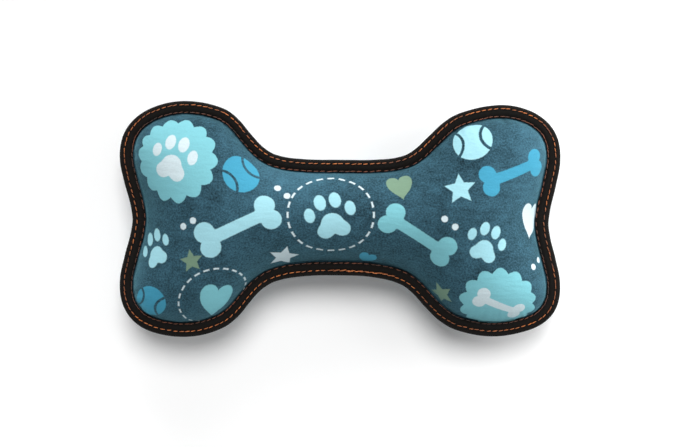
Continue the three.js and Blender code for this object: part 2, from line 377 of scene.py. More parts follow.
def read(items, field, width=3):
    values = np.empty(len(items) * width)
    items.foreach_get(field, values)
    return values.reshape(-1, width)


def write_points(piece, points):
    piece.data.vertices.foreach_set("co", np.asarray(points).ravel())
    piece.data.update()


def lay_uv(piece, name, flat):
    """A map that gives each vertex its place on the flat cut, in metres."""
    corners = np.empty(len(piece.data.loops), int)
    piece.data.loops.foreach_get("vertex_index", corners)
    layer = piece.data.uv_layers.new(name=name)
    layer.uv.foreach_set("vector", flat[corners].ravel())


def dress(piece, node, body="back_half"):
    """The piece stands for a CAD node and moves with a body."""
    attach(piece, body)
    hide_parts(node)
    return piece


# Materials


def linear(red, green, blue):
    """A colour given in sRGB bytes."""
    parts = [c / 255 for c in (red, green, blue)]
    return [c / 12.92 if c <= 0.04045 else ((c + 0.055) / 1.055) ** 2.4 for c in parts] + [1]


GROUND = linear(46, 77, 91)
ICE = linear(156, 207, 218)
AQUA = linear(122, 188, 198)
CYAN = linear(66, 150, 180)
SAGE = linear(116, 143, 120)
WHITE = linear(203, 219, 224)

# Between these values most of a noise texture lies
NOISE_RANGE = (0.3, 0.7)


class Graph:
    """Short calls for the nodes of one shader tree."""

    def __init__(self, tree):
        self.tree = tree

    def put(self, socket, value):
        if isinstance(value, bpy.types.NodeSocket):
            self.tree.links.new(value, socket)
        elif value is not None:
            socket.default_value = value

    def fill(self, made, **values):
        """Links or sets a node's inputs by name, with _ for each space, and gives its outputs."""
        for name, value in values.items():
            self.put(made.inputs[name.replace("_", " ")], value)
        return made.outputs

    def show(self, **values):
        self.fill(self.tree.nodes["Principled BSDF"], **values)

    def node(self, kind, *values, **settings):
        """A node with its inputs in order: a socket is linked, a value is set and None is left."""
        made = self.tree.nodes.new("ShaderNode" + kind)
        for name, value in settings.items():
            setattr(made, name, value)
        for socket, value in zip(made.inputs, values):
            self.put(socket, value)
        return made

    def math(self, operation, *values):
        return self.node("Math", *values, operation=operation).outputs[0]

    def vector(self, operation, *values):
        made = self.node("VectorMath", *values, operation=operation)
        return made.outputs["Value" if operation == "LENGTH" else "Vector"]

    def noise(self, where, size, detail=2.0, roughness=0.5):
        made = self.node("TexNoise")
        return self.fill(made, Vector=where, Scale=1 / size, Detail=detail, Roughness=roughness)["Fac"]

    def ramp(self, value, low, high, start=0.0, end=1.0):
        return self.node("MapRange", value, low, high, start, end).outputs[0]

    def mix(self, share, first, second):
        """A mix of two colours, whose sockets follow five for values of other kinds."""
        return self.node("Mix", share, *[None] * 5, first, second, data_type="RGBA").outputs[2]

    def tint(self, colour, value):
        """A colour made lighter or darker by a factor."""
        plain = colour[:3] if isinstance(colour, list) else colour
        return self.vector("SCALE", plain, None, None, value)

    def bump(self, height, distance, strength=1.0, before=None):
        made = self.node("Bump")
        return self.fill(made, Height=height, Distance=distance, Strength=strength, Normal=before)["Normal"]


def surface(name, **values):
    """A material and its graph, with values set on the shader's own sockets."""
    material = bpy.data.materials.new(name)
    material.use_nodes = True
    graph = Graph(material.node_tree)
    graph.show(**values)
    return material, graph


def local_places(graph):
    return graph.node("TexCoord").outputs["Object"]


def flat_places(graph, name):
    return graph.node("UVMap", uv_map=name).outputs["UV"]


def ribs(graph, place, pitch):
    """Ridges from -1 to 1 along one way of a map."""
    return graph.math("SINE", graph.math("MULTIPLY", place, TURN / pitch))


# Printed motifs. Each is drawn about its own middle with a half size of 1, and gives a distance:
# below 0 is inside.


def length(graph, x, y):
    return graph.vector("LENGTH", graph.node("CombineXYZ", x, y).outputs[0])


def disc(graph, x, y, middle, radius):
    aside = graph.math("SUBTRACT", x, middle[0])
    above = graph.math("SUBTRACT", y, middle[1])
    return graph.math("SUBTRACT", length(graph, aside, above), radius)


def oval(graph, x, y, middle, radii):
    aside = graph.math("DIVIDE", graph.math("SUBTRACT", x, middle[0]), radii[0])
    above = graph.math("DIVIDE", graph.math("SUBTRACT", y, middle[1]), radii[1])
    beyond = graph.math("SUBTRACT", length(graph, aside, above), 1.0)
    return graph.math("MULTIPLY", beyond, min(radii))


def paw(graph, x, y):
    aside = graph.math("ABSOLUTE", x)
    heel = disc(graph, aside, y, (0.3, -0.56), 0.29)
    pad = graph.math("SMOOTH_MIN", heel, disc(graph, x, y, (0, -0.3), 0.4), 0.2)
    toes = graph.math(
        "MINIMUM",
        oval(graph, aside, y, (0.27, 0.58), (0.21, 0.31)),
        oval(graph, aside, y, (0.73, 0.16), (0.19, 0.28)),
    )
    return graph.math("MINIMUM", pad, toes)


def bone(graph, x, y):
    aside = graph.math("ABSOLUTE", x)
    above = graph.math("ABSOLUTE", y)
    bar = graph.math(
        "MAXIMUM", graph.math("SUBTRACT", aside, 0.7), graph.math("SUBTRACT", above, 0.15)
    )
    return graph.math("SMOOTH_MIN", bar, disc(graph, aside, above, (0.76, 0.19), 0.24), 0.08)


def heart(graph, x, y):
    lobes = graph.math("MULTIPLY", graph.math("SQRT", graph.math("ABSOLUTE", x)), 0.72)
    sunk = graph.math("SUBTRACT", graph.math("ADD", y, 0.2), lobes)
    return disc(graph, x, sunk, (0, 0), 0.82)


def star(graph, x, y):
    """Five points: one point's half is folded round, and a line runs from its tip to the next dent."""
    radius = length(graph, x, y)
    turn = graph.math("ARCTAN2", x, y)
    folded = graph.math("ABSOLUTE", graph.math("WRAP", turn, TURN / 10, -TURN / 10))
    tip = np.array([1.0, 0.0])
    dent = 0.48 * np.array([math.cos(TURN / 10), math.sin(TURN / 10)])
    edge = (dent - tip) / np.linalg.norm(dent - tip)
    along = graph.math("SUBTRACT", graph.math("MULTIPLY", radius, graph.math("COSINE", folded)), 1.0)
    across = graph.math("MULTIPLY", radius, graph.math("SINE", folded))
    along = graph.math("MULTIPLY", along, float(edge[1]))
    return graph.math("ADD", along, graph.math("MULTIPLY", across, float(-edge[0])))


def ball(graph, x, y):
    aside = graph.math("ABSOLUTE", x)
    seam = graph.math("ABSOLUTE", disc(graph, aside, y, (1.32, 0), 0.86))
    line = graph.math("SUBTRACT", 0.075, seam)
    return graph.math("MAXIMUM", disc(graph, x, y, (0, 0), 1.0), line)


def dashes(graph, x, y):
    count = 24
    ring = graph.math("SUBTRACT", graph.math("ABSOLUTE", disc(graph, x, y, (0, 0), 0.96)), 0.021)
    turn = graph.math("MULTIPLY", graph.math("ARCTAN2", y, x), count / TURN)
    gap = graph.math("SUBTRACT", graph.math("PINGPONG", turn, 0.5), 0.29)
    return graph.math("MAXIMUM", ring, graph.math("MULTIPLY", gap, TURN / count))


def rosette(graph, x, y):
    lobes = graph.math("SINE", graph.math("MULTIPLY", graph.math("ARCTAN2", y, x), 7.0))
    reach = graph.math("MULTIPLY_ADD", graph.math("ABSOLUTE", lobes), 0.13, 0.87)
    return graph.math("SUBTRACT", length(graph, x, y), reach)


def dot(graph, x, y):
    return disc(graph, x, y, (0, 0), 1.0)


# The repeat of the print: motif, middle and half size in millimetres, turn in degrees, colour; and the
# middles of its dots
PRINT_REPEAT = (300 * MM, 200 * MM)
DOTS = ((70, 3), (77, -2), (-35, 18), (-41, 24), (-105, -3), (-98, 1), (135, -28), (142, -23))
PRINT = (
    (rosette, -112, 43, 31, 8, AQUA),
    (paw, -112, 43, 18, -14, WHITE),
    (ball, -65, 33, 13, 35, CYAN),
    (bone, -68, -3, 29, 24, ICE),
    (paw, -128, -18, 14, 22, ICE),
    (star, -99, -26, 8, 10, SAGE),
    (dashes, -82, -58, 27, 0, WHITE),
    (heart, -82, -59, 15, -12, AQUA),
    (ball, -131, -58, 14, -20, CYAN),
    (dashes, -6, 4, 30, 0, WHITE),
    (paw, -6, 3, 19, 12, ICE),
    (star, -37, -30, 10, -12, WHITE),
    (heart, 40, 25, 10, 14, SAGE),
    (bone, 52, -9, 27, -32, AQUA),
    (heart, 18, -34, 7, -20, CYAN),
    (star, 80, 24, 11, 8, ICE),
    (ball, 87, 60, 15, 15, ICE),
    (bone, 118, 36, 25, 18, CYAN),
    (paw, 98, -12, 15, -18, ICE),
    (heart, 135, 2, 11, -10, WHITE),
    (rosette, 108, -58, 29, 0, AQUA),
    (bone, 108, -58, 19, -28, WHITE),
    (star, 66, -52, 9, 20, SAGE),
    *((dot, x, y, 2.2, 0, WHITE) for x, y in DOTS),
)

# How far the print's edges blur into the pile, and the size of their fraying
PRINT_FUZZ = 0.3 * MM
PRINT_FRAY = 1.1 * MM

# Paler and darker patches on the plush ground: painted highlight where the change is above 0, painted
# shade where it is below. Middle and reach in millimetres on the flat cut, and the change
PAINTED_LIGHT_AND_SHADE = (
    ((-24, 42), 34, 0.7),
    ((-50, 28), 28, 0.25),
    ((146, 46), 58, 0.55),
    ((84, 62), 44, -0.35),
    ((-92, 64), 40, -0.22),
    ((22, -6), 42, -0.2),
)


def motif_group(draw):
    """The motif as a node group from a place to a distance, made once."""
    found = bpy.data.node_groups.get(draw.__name__)
    if found:
        return found
    tree = bpy.data.node_groups.new(draw.__name__, "ShaderNodeTree")
    tree.interface.new_socket("Place", in_out="INPUT", socket_type="NodeSocketVector")
    tree.interface.new_socket("Distance", in_out="OUTPUT", socket_type="NodeSocketFloat")
    graph = Graph(tree)
    place = tree.nodes.new("NodeGroupInput").outputs[0]
    x, y, _ = graph.node("SeparateXYZ", place).outputs
    graph.put(tree.nodes.new("NodeGroupOutput").inputs[0], draw(graph, x, y))
    return tree


def printed(graph, place, ground):
    """The print's colour at a place on the flat cut, over the ground's colour."""
    frayed = graph.fill(graph.node("TexNoise", noise_dimensions="2D"), Vector=place, Scale=1 / PRINT_FRAY)
    stray = graph.vector("SUBTRACT", frayed["Color"], (0.5, 0.5, 0.5))
    place = graph.vector("ADD", place, graph.vector("SCALE", stray, None, None, 2 * PRINT_FUZZ))
    colour = ground
    half = (PRINT_REPEAT[0] / 2, PRINT_REPEAT[1] / 2, 1.0)
    for draw, x, y, size, turn, ink in PRINT:
        apart = graph.vector("SUBTRACT", place, (x * MM, y * MM, 0))
        near = graph.vector("WRAP", apart, half, [-h for h in half])
        mapping = graph.node("Mapping", near, vector_type="TEXTURE")
        own = graph.fill(mapping, Rotation=(0, 0, math.radians(turn)), Scale=(size * MM,) * 3)[0]
        distance = graph.node("Group", own, node_tree=motif_group(draw)).outputs[0]
        edge = PRINT_FUZZ / (size * MM)
        colour = graph.mix(graph.ramp(distance, edge, -edge), colour, ink)
    return colour


def plush_material():
    """Short-pile velour: a ground that is cloudy and flecked as its pile leans, with patches of painted
    highlight and shade, and a smoother print.
    """
    material, graph = surface(
        "printed_plush",
        Roughness=0.9,
        Specular_IOR_Level=0.1,
        Sheen_Weight=0.35,
        Sheen_Roughness=0.5,
        Sheen_Tint=linear(150, 228, 245),
    )
    flat = flat_places(graph, "FlatCut")
    cloud = graph.noise(flat, 30 * MM, 4.0, 0.65)
    patch = graph.noise(flat, 9 * MM, 2.0)
    brushed = graph.noise(graph.vector("MULTIPLY", flat, (0.4, 1, 1)), 3.5 * MM, 2.0)
    tips = graph.noise(flat, 1.3 * MM, 4.0, 0.75)
    lean = graph.ramp(cloud, *NOISE_RANGE, 0.74, 1.24)
    for texture, swing in ((patch, 0.17), (brushed, 0.14)):
        lean = graph.math("ADD", lean, graph.ramp(texture, *NOISE_RANGE, -swing, swing))
    x, y, _ = graph.node("SeparateXYZ", flat).outputs
    # Painted highlight and shade: the listed patches make the ground paler or darker
    for (across, up), reach, change in PAINTED_LIGHT_AND_SHADE:
        away = disc(graph, x, y, (across * MM, up * MM), 0.0)
        lean = graph.math("ADD", lean, graph.ramp(away, reach * MM, 0.0, 0.0, change))
    flecked_and_painted_light = graph.math("ADD", lean, graph.ramp(tips, *NOISE_RANGE, -0.75, 0.75))
    colour = printed(graph, flat, graph.tint(GROUND, flecked_and_painted_light))
    rubbed = graph.ramp(brushed, *NOISE_RANGE, -0.02, 0.02)
    worn = graph.math("ADD", graph.ramp(tips, *NOISE_RANGE, 0.95, 1.05), rubbed)
    pile = graph.bump(tips, 0.5 * MM, 0.3)
    graph.show(Base_Color=graph.tint(colour, worn), Normal=graph.bump(brushed, 1.2 * MM, 0.3, pile))
    return material


def weave_material(name, light, dark, roughness, pitch, depth):
    """A plain weave on the flat cut: threads over and under, two ways, with painted shade where they dip
    under.
    """
    material, graph = surface(name, Roughness=roughness)
    flat = flat_places(graph, "FlatCut")
    x, y, _ = graph.node("SeparateXYZ", flat).outputs
    height = graph.math("MULTIPLY", ribs(graph, x, pitch), ribs(graph, y, pitch))
    wear = graph.ramp(graph.noise(flat, 6 * MM, 3.0), 0.35, 0.65, 0.0, 0.4)
    # Painted shade: the colour goes towards the dark one where the threads dip under, with random wear added
    share = graph.math("ADD", graph.ramp(height, -1, 1, 0.0, 0.6), wear)
    graph.show(Base_Color=graph.mix(share, dark, light), Normal=graph.bump(height, depth))
    return material


def tape_material():
    """Black ribbed webbing: ribs across its width, and lint and rubbed spots along its folds."""
    material, graph = surface("black_webbing", Specular_IOR_Level=0.1)
    rib_pitch, yarn_pitch = 0.85 * MM, 0.6 * MM
    flat = flat_places(graph, "TapeFlat")
    along, across, _ = graph.node("SeparateXYZ", flat).outputs
    rib = ribs(graph, along, rib_pitch)
    yarn = ribs(graph, across, yarn_pitch)
    height = graph.math("MULTIPLY_ADD", yarn, 0.35, rib)
    worn = graph.ramp(graph.noise(flat, 4 * MM, 4.0, 0.6), 0.4, 0.75)
    colour = graph.mix(worn, linear(5, 4, 3), linear(17, 13, 9))
    # The ribs' troughs are painted darker and their crests lighter: painted shade and highlight on the black
    # webbing
    graph.show(
        Base_Color=graph.tint(colour, graph.ramp(rib, -1, 1, 0.7, 1.2)),
        Roughness=graph.ramp(worn, 0, 1, 0.66, 0.85),
        Normal=graph.bump(height, 0.12 * MM, 0.7),
    )
    return material


def thread_material(name, bright, shaded):
    """Spun polyester thread whose plies catch the light; its brighter and duller stretches along its length
    are painted highlight and shade.
    """
    material, graph = surface(name, Roughness=0.5, Sheen_Weight=0.15)
    place = local_places(graph)
    stretch = graph.ramp(graph.noise(place, 26 * MM, 1.0), 0.38, 0.62)
    stitch = graph.ramp(graph.noise(place, 6 * MM, 2.0), 0.35, 0.65)
    share = graph.math("MULTIPLY_ADD", stretch, 0.55, graph.math("MULTIPLY", stitch, 0.45))
    fibre = graph.noise(place, 0.25 * MM, 2.0)
    # Painted highlight and shade: the colour runs between the darker and the brighter one in random
    # stretches along the thread
    colour = graph.tint(graph.mix(share, shaded, bright), graph.ramp(fibre, *NOISE_RANGE, 0.8, 1.2))
    graph.show(Base_Color=colour, Normal=graph.bump(fibre, 0.08 * MM, 0.6))
    return material


def fibre_material():
    """White polyester stuffing in soft tangled strands."""
    material, graph = surface("polyester_fibre", Roughness=0.95, Sheen_Weight=0.3)
    place = local_places(graph)
    strands = graph.noise(graph.vector("MULTIPLY", place, (0.3, 1, 1)), 1.3 * MM, 4.0, 0.7)
    clump = graph.noise(place, 11 * MM, 3.0)
    colour = graph.mix(clump, linear(222, 222, 218), linear(247, 247, 244))
    colour = graph.tint(colour, graph.ramp(strands, *NOISE_RANGE, 0.86, 1.0))
    graph.show(Base_Color=colour, Normal=graph.bump(strands, 0.8 * MM))
    return material


def moulded_material(name, colour, roughness, **values):
    """Moulded plastic with a faint flow of colour and a fine spark-eroded grain."""
    material, graph = surface(name, **values)
    place = local_places(graph)
    flow = graph.noise(place, 8 * MM, 3.0)
    grain = graph.noise(place, 0.4 * MM, 2.0)
    graph.show(
        Base_Color=graph.tint(colour, graph.ramp(flow, *NOISE_RANGE, 0.9, 1.04)),
        Roughness=graph.ramp(grain, *NOISE_RANGE, roughness - 0.06, roughness + 0.06),
        Normal=graph.bump(grain, 0.03 * MM),
    )
    return material


# Plush panels


def soft_depth(points, wall, step):
    """The way out from each point to a wall, and its depth: its distance, and less where walls crowd."""
    depth = np.empty(len(points))
    way = np.empty((len(points), 2))
    batch = 500
    for start in range(0, len(points), batch):
        part = slice(start, start + batch)
        apart = wall[None] - points[part, None]
        distance = np.linalg.norm(apart, axis=2)
        crowding = (step / distance**3).sum(1)
        pull = 3 * (apart * (step / distance**5)[..., None]).sum(1)
        depth[part] = np.sqrt(2 / crowding)
        way[part] = pull * (crowding**-1.5 / math.sqrt(2))[:, None]
    return depth, way


def inside_grid(edge_ring):
    """Points of an even triangular grid well inside a closed ring."""
    low, high = edge_ring.min(0), edge_ring.max(0)
    row_step = GRID_STEP * math.sqrt(3) / 2
    rows = np.arange(low[1], high[1], row_step)
    grid = [
        (x + (i % 2) * GRID_STEP / 2, y)
        for i, y in enumerate(rows)
        for x in np.arange(low[0], high[0], GRID_STEP)
    ]
    normals = outward(edge_ring)
    tree = search_tree(edge_ring)
    kept = []
    for point in grid:
        _, i, distance = tree.find((*point, 0))
        if np.dot(point - edge_ring[i], normals[i]) < 0 and distance > GRID_CLEAR:
            kept.append(point)
    return np.array(kept)


def panel_plan():
    """A panel's flat plan as points and faces: rings along its seam and a grid inside them."""
    rings = [rim(inset, RING_POINTS) for inset in RING_INSETS]
    faces = lattice(len(rings), RING_POINTS)
    last = (len(rings) - 1) * RING_POINTS
    grid = inside_grid(rings[-1])
    loose = [Vector(p) for p in np.vstack([rings[-1], grid])]
    border = [list(range(RING_POINTS))]
    _, _, triangles, origins, _, _ = delaunay_2d_cdt(loose, [], border, 1, 1e-7)
    faces += [[last + origins[i][0] for i in triangle] for triangle in triangles]
    return np.vstack(rings + [grid]), faces


def crown(depth, deepest):
    return (CROWN_TOP - FLANGE_TOP) * (np.clip(depth, 0, None) / deepest) ** CROWN_POWER


def flat_cut(plan, depth, way, deepest):
    """Where the swollen panel's points lay on its flat cut: further out by their slope's extra length."""
    steps = np.linspace(1e-5, deepest, WALL_SAMPLES)
    slope = np.gradient(crown(steps, deepest), steps)
    extra = np.sqrt(1 + slope**2) - 1
    beyond = np.cumsum(extra[::-1])[::-1] * (steps[1] - steps[0])
    return plan + way * np.interp(depth, steps, beyond)[:, None]


def swollen(piece, held):
    """Blows the panel up by cloth simulation with its seam held, moving no point further than the cap."""
    before = read(piece.data.vertices, "co")
    piece.vertex_groups.new(name="held").add(held, 1.0, "REPLACE")
    cloth = piece.modifiers.new("Cloth", "CLOTH")
    settings = cloth.settings
    settings.vertex_group_mass = "held"
    settings.use_pressure = True
    settings.uniform_pressure_force = SWELL_PRESSURE
    settings.effector_weights.gravity = 0
    cloth.point_cache.frame_end = SWELL_FRAMES
    scene = bpy.context.scene
    for number in range(1, SWELL_FRAMES + 1):
        scene.frame_set(number)
    after = read(piece.evaluated_get(bpy.context.evaluated_depsgraph_get()).data.vertices, "co")
    piece.modifiers.clear()
    scene.frame_set(1)
    move = after - before
    far = np.linalg.norm(move, axis=1)[:, None]
    write_points(piece, before + move * np.minimum(1, SWELL_CAP / np.maximum(far, 1e-9)))
    piece.vertex_groups.clear()


def stuffed_panel():
    """The front panel's shape after stuffing, with its map on the flat cut."""
    plan, faces = panel_plan()
    wall = rim(SEAM_INSET, WALL_SAMPLES)
    step = np.linalg.norm(np.roll(wall, -1, 0) - wall, axis=1)
    depth, way = soft_depth(plan, wall, step)
    ringed = len(RING_INSETS) * RING_POINTS
    beyond = np.repeat(RING_INSETS, RING_POINTS) - SEAM_INSET
    depth[:ringed] = np.where(beyond < NEAR_SEAM, np.clip(beyond, 0, None), depth[:ringed])
    way[:ringed] = np.tile(outward(rim(0, RING_POINTS)), (len(RING_INSETS), 1))
    deepest = depth.max()
    flat = flat_cut(plan, depth, way, deepest)
    bulge = depth / OVERHANG_DEPTH
    lean = 1 + way @ np.array(OVERHANG_LEAN) + OVERHANG_SAG * ease(-plan[:, 1], *SAG_LEVELS)
    over = way * (OVERHANG * lean * bulge * np.exp(1 - bulge))[:, None]
    height = SEAM + FLANGE_TOP + START_SWELL * crown(depth, deepest)
    panel = make("panel", np.column_stack([plan + over, height]), faces)
    lay_uv(panel, "FlatCut", flat)
    swollen(panel, list(range(HELD_RINGS * RING_POINTS)))
    return panel


def seam_places(points):
    """How far round the edge each point's nearest edge point lies, and how deep it is inside the seam."""
    normals = outward(FINE_EDGE)
    tree = search_tree(FINE_EDGE)
    nearest = np.array([tree.find((x, y, 0))[1] for x, y, _ in points])
    inset = -((points[:, :2] - FINE_EDGE[nearest]) * normals[nearest]).sum(1)
    return nearest / len(FINE_EDGE) * TURN, np.clip(inset - SEAM_INSET, 0, None)


def hand_finish(piece, seed):
    """Puckers that run in from the seam, and the stuffing's broad lumps."""
    points = read(piece.data.vertices, "co")
    normals = read(piece.data.vertex_normals, "vector")
    turn, depth = seam_places(points)
    loop = seam_loop(turn)
    fade = np.exp(-depth / PUCKER_REACH) * (1 - np.exp(-depth / PUCKER_START))
    rise = np.zeros(len(points))
    for size, height in PUCKERS:
        rise += height * fade * noise_at(loop, size / 2, seed)
    for size, height in LUMPS:
        rise += height * ease(depth, 0, LUMP_START) * noise_at(points, size, seed + 2)
    write_points(piece, points + normals * rise[:, None])


def plush_piece(name, panel, seed, materials):
    """A finer copy of the stuffed panel, with its own puckers and lumps."""
    piece = add(name, panel.data.copy())
    for material in materials:
        piece.data.materials.append(material)
    piece.modifiers.new("Subdivision", "SUBSURF")
    applied(piece)
    hand_finish(piece, seed)
    return piece


def thicken(piece):
    """The panel in its sewn place, with its wall and backing."""
    points = read(piece.data.vertices, "co")
    points[:, :2] = sewn(points[:, :2])
    write_points(piece, points)
    wall = piece.modifiers.new("Wall", "SOLIDIFY")
    wall.thickness = PLUSH_WALL
    wall.offset = -1
    wall.material_offset = 1
    applied(piece).data.shade_smooth()
    return piece


def front_panel(panel, materials):
    piece = thicken(plush_piece("front_panel", panel, 1, materials))
    return dress(piece, "front_cover")


def back_panel(panel, materials):
    """The same cut turned over, flat where the toy lies on it, with another part of the print."""
    piece = plush_piece("back_panel", panel, 5, materials)
    points = read(piece.data.vertices, "co")
    points[:, 2] = np.maximum(2 * SEAM - points[:, 2], FLOOR)
    write_points(piece, points)
    piece.data.flip_normals()
    layer = piece.data.uv_layers["FlatCut"].uv
    flat = read(layer, "vector", 2) * (-1, 1) + BACK_PRINT_SHIFT
    layer.foreach_set("vector", flat.ravel())
    return dress(thicken(piece), "back_cover")


# Edge tape


def tape_section():
    """The folded tape as (inset, height, whether it is the outer skin), skin first and lining after."""
    fold = [(TAPE_TOP * (1 - math.sin(a)), TAPE_TOP * math.cos(a)) for a in np.linspace(0, math.pi, 15)]
    flats = np.linspace(TAPE_REACH, TAPE_TOP, 12)[:-1]
    outer = [(u, TAPE_TOP) for u in flats] + fold + [(u, -TAPE_TOP) for u in flats[::-1]]
    under = TAPE_TOP - TAPE_WALL
    inner = [(TAPE_REACH, -under), (5 * MM, -under), (1.6 * MM, -under), (TAPE_WALL, -0.7 * under)]
    inner += [(u, -z) for u, z in inner[::-1]]
    return np.array([(u, z, 1) for u, z in outer] + [(u, z, 0) for u, z in inner])


def hump(x, middle, width):
    return math.exp(-(((x - middle) / width) ** 2))


def edge_tape(material):
    """Webbing folded over the panels' edges, drawn down along its stitching and puffed between the rows."""
    stations = STITCHES * TAPE_STATIONS
    edge = evenly(EDGE, stations)
    normals = outward(edge)
    turn = np.arange(stations) / stations * TURN
    loop = seam_loop(turn)
    hole = 0.5 + 0.5 * np.cos(turn * STITCHES)
    sway = noise_at(loop, TAPE_SWAY[0], 3) * TAPE_SWAY[1] - hole * HOLE_DRAW
    crease = noise_at(loop, TAPE_CREASE[0], 4) * TAPE_CREASE[1]
    section = tape_section()
    rings = []
    for inset, height, skin in section:
        free = ease(inset, FREE_FROM, TAPE_REACH)
        rows = hump(inset, OUTER_ROW, ROW_WIDTH) + hump(inset, INNER_ROW, ROW_WIDTH)
        puff = hump(inset, (OUTER_ROW + INNER_ROW) / 2, PUFF_WIDTH)
        lift = skin * (puff * (PUFF + crease) - rows * (ROW_DIP + HOLE_DIP * hole) - free * FREE_DIP)
        plan = edge - normals * (inset + free * sway)[:, None]
        level = height + np.sign(height) * lift * (abs(height) > 0.6 * TAPE_TOP)
        rings.append(np.column_stack([sewn(plan, inset), SEAM + level + 0 * turn]))
    piece = make("tape", np.vstack(rings), lattice(len(rings), stations, True), material)
    reach = running_length(section[:, :2])
    flat = np.array([(PERIMETER * i / stations, u) for u in reach for i in range(stations)])
    lay_uv(piece, "TapeFlat", flat)
    return dress(face_outwards(piece), "edge_tape")


# Stitching


def thread_tubes(middles, along, lengths, slants, lifts, side):
    """Arched two-ply stitches, each dipping into the tape at its ends, as one set of points and faces."""
    t = np.linspace(-1, 1, STITCH_STEPS)
    arch = THREAD_HEIGHT * (ARCH_CREST - ARCH_DROP * np.abs(t) ** 5)
    slim = np.sqrt(1 - END_THINNING * np.abs(t) ** 6)
    slim[[0, -1]] = END_TIP
    around = np.arange(STITCH_SIDES) / STITCH_SIDES * TURN
    tube = closed_lattice(STITCH_STEPS, STITCH_SIDES)
    points, faces = [], []
    across = np.stack([-along[:, 1], along[:, 0]], 1)
    for k, middle in enumerate(middles):
        place = t * lengths[k] / 2
        plies = 1 + PLY_DEPTH * np.cos(2 * (around[None] - (place / PLY_LAY)[:, None]))
        out = np.cos(around) * THREAD_WIDTH / 2 * slim[:, None] * plies
        up = np.sin(around) * THREAD_HEIGHT / 2 * slim[:, None] * plies
        flat = middle + along[k] * place[:, None] + across[k] * (slants[k] * t)[:, None]
        ring_xy = flat[:, None] + across[k] * out[..., None]
        ring_z = SEAM + side * (TAPE_TOP + lifts[k] + arch[:, None] + up)
        points.append(np.dstack([ring_xy, ring_z]).reshape(-1, 3))
        first = k * STITCH_STEPS * STITCH_SIDES
        faces += [[first + i for i in face] for face in tube]
    return np.vstack(points), faces


def stitch_row(node, inset, side, seed, material, tacked=False):
    """One row of stitches along the tape, and the second run over its start where it was locked off."""
    chance = np.random.default_rng(seed)
    fine = STITCHES * ROW_STATIONS
    row = sewn(rim(inset, fine))
    heading = np.roll(row, -1, 0) - row
    heading /= np.linalg.norm(heading, axis=1)[:, None]
    picks = np.arange(STITCHES) * ROW_STATIONS
    lifts = np.zeros(STITCHES)
    if tacked:
        x, y = row[picks].T
        again = picks[(y < 0) & (x > BACK_TACK[0]) & (x < BACK_TACK[1])]
        picks = np.concatenate([picks, again + TACK_SHIFT])
        lifts = np.concatenate([lifts, np.full(len(again), TACK_LIFT)])
    picks = (picks + chance.integers(-1, 2, len(picks))) % fine
    count = len(picks)
    across = np.stack([-heading[picks, 1], heading[picks, 0]], 1)
    drift = chance.normal(0, DRIFT_SPREAD, count) + (lifts > 0) * chance.choice(TACK_ASIDE, count)
    points, faces = thread_tubes(
        row[picks] + across * drift[:, None],
        heading[picks],
        STITCH_LENGTH * chance.uniform(*LENGTH_SPREAD, count),
        chance.normal(*SLANT, count),
        lifts + chance.normal(0, LIFT_SPREAD, count),
        side,
    )
    piece = make(node + "_thread", points, faces, material)
    return dress(face_outwards(piece), node)


# Stuffing


def pocket_roof(points):
    """How high above the seam the stuffing starts, clear of the squeaker pouches and their hems."""
    roof = np.full(len(points), SEAM_GAP)
    for side in SIDES:
        low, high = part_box(side + "_pouch_front")
        hem = (high.x - low.x) / 2
        radius = np.hypot(points[:, 0] - SQUEAKER_X[side], points[:, 1])
        bowl = np.sqrt(np.clip(1 - (radius / (1.25 * hem)) ** 4, 0.05, 1))
        pouch = (high.z - SEAM + POCKET_GAP) * bowl * (1 - ease(radius, 0.9 * hem, 1.02 * hem))
        roof = np.maximum(roof, pouch + HEM_ROOF * (1 - ease(radius, hem, 1.1 * hem)))
    return roof


def stuffing(name, panel, sign, seed, material):
    """A half of the stuffing, which fills its panel down to the seam and round the pouches."""
    skip = FILL_RING * RING_POINTS
    points = read(panel.data.vertices, "co")[skip:]
    kept = [face.vertices for face in panel.data.polygons if min(face.vertices) >= skip]
    faces = [[v - skip for v in corners] for corners in kept]
    clumps = np.abs(noise_at(points, CLUMPS[0], seed)) * CLUMPS[1]
    top = points[:, 2] - SEAM - PLUSH_WALL - FILL_GAP - clumps
    low = np.minimum(pocket_roof(points), top - FILL_LEAST)
    plan = sewn(points[:, :2])
    upper = np.column_stack([plan, SEAM + sign * np.minimum(top, SEAM - FLOOR - FILL_FLOOR_GAP)])
    lower = np.column_stack([plan, SEAM + sign * low])
    count = len(points)
    after = [(i + 1) % RING_POINTS for i in range(RING_POINTS)]
    sides = [(i, j, count + j, count + i) for i, j in enumerate(after)]
    faces = faces + [[count + v for v in face[::-1]] for face in faces] + sides
    return face_outwards(make(name, np.vstack([upper, lower]), faces, material))


# Squeakers


def lathe(side, kind, profile, material, around=72, ruffle=0.0, capped=False):
    """Turns a closed profile of (radius, height above the seam) about a squeaker's axis; a capped one
    starts and ends there."""
    radius, height = np.array(profile).T
    turn = np.arange(around) / around * TURN
    wave = 1 + ruffle * np.cos(turn * RUFFLES + 0.8 * np.sin(turn * 5))
    spread = radius[:, None] * np.where(radius[:, None] > RUFFLE_FROM, wave, 1.0)
    x = SQUEAKER_X[side] + spread * np.cos(turn)
    rings = np.dstack([x, spread * np.sin(turn), SEAM + height[:, None] + 0 * turn])
    count = len(profile)
    faces = closed_lattice(count, around) if capped else lattice(count, around, True)
    return face_outwards(make(f"{side}_{kind}", rings.reshape(-1, 3), faces, material))


def cut_places(profile, around):
    """Where a pouch's points lay on its round cut: as far from its middle as the cloth between is long."""
    along = running_length(profile)
    reach = np.minimum(along, along[-1] - along)[:, None]
    turn = np.arange(around) / around * TURN
    return np.dstack([reach * np.cos(turn), reach * np.sin(turn)]).reshape(-1, 2)


